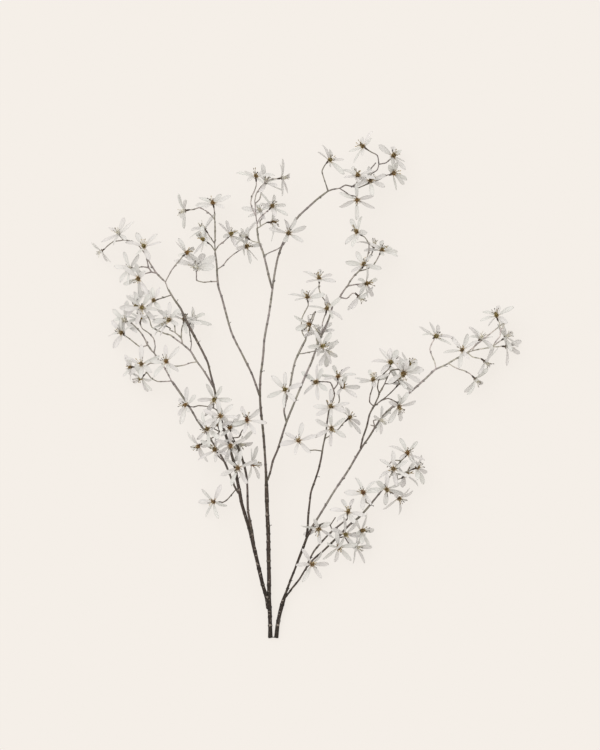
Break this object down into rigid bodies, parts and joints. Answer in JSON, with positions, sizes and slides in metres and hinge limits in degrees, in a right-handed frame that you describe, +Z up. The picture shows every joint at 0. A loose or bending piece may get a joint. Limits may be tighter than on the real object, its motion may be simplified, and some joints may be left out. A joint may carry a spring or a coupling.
{
  "type": "blossom branch",
  "caption": "Cut branch with slender forking limbs, thin twigs and loose star-shaped white blossoms, lying flat on a surface.",
  "frame": {"origin": "middle of the branch's box in plan, at the height of the surface that it lies on", "axes": "+X across the branch, +Y from the sawn end towards the tips, +Z up from the surface"},
  "size_m": [0.8622, 1.0152, 0.1347],
  "materials": {
    "dark_bark": "rough dark bark with moss and pale specks",
    "grey_bark": "grey-brown bark of young wood",
    "blossom": "thin white petals, slightly translucent"
  },
  "bodies": {
    "root": {"heel": "dark_bark", "centre_limb": "dark_bark", "outer_limb": "dark_bark", "left_limb": "dark_bark", "left_twin_limb": "dark_bark", "low_left_limb": "grey_bark", "second_left_limb": "grey_bark", "centre_left_limb": "grey_bark", "top_left_limb": "grey_bark", "right_of_centre_limb": "grey_bark", "side_limb": "grey_bark", "inner_limb": "grey_bark", "far_limb": "grey_bark", "low_right_limb": "dark_bark", "low_right_twin_limb": "grey_bark", "spray_centre_left_elbow": "blossom", "spray_centre_left_side": "blossom", "spray_centre_left_tip": "blossom", "spray_cluster_foot": "blossom", "spray_cluster_heart": "blossom", "spray_cluster_left": "blossom", "spray_cluster_low": "blossom", "spray_cluster_right": "blossom", "spray_cluster_top": "blossom", "spray_far_side": "blossom", "spray_far_tip": "blossom", "spray_inner_left": "blossom", "spray_inner_right": "blossom", "spray_inner_tip": "blossom", "spray_left_tip": "blossom", "spray_left_wide": "blossom", "spray_low_left_lone": "blossom", "spray_low_left_tip": "blossom", "spray_low_right_cluster": "blossom", "spray_low_right_front": "blossom", "spray_low_right_middle": "blossom", "spray_low_right_tip": "blossom", "spray_low_right_twin_side": "blossom", "spray_low_right_twin_tip": "blossom", "spray_low_right_upper": "blossom", "spray_outer_hanging": "blossom", "spray_outer_hooked": "blossom", "spray_outer_side": "blossom", "spray_outer_tip": "blossom", "spray_right_of_centre_side": "blossom", "spray_right_of_centre_tip": "blossom", "spray_second_left_behind": "blossom", "spray_second_left_front": "blossom", "spray_second_left_tip": "blossom", "spray_side_crossing": "blossom", "spray_side_front": "blossom", "spray_side_tip": "blossom", "spray_top_left_behind": "blossom", "spray_top_left_crossing": "blossom", "spray_top_left_tip": "blossom", "spray_top_right": "blossom", "spray_twin_side": "blossom"}
  },
  "joints": []
}
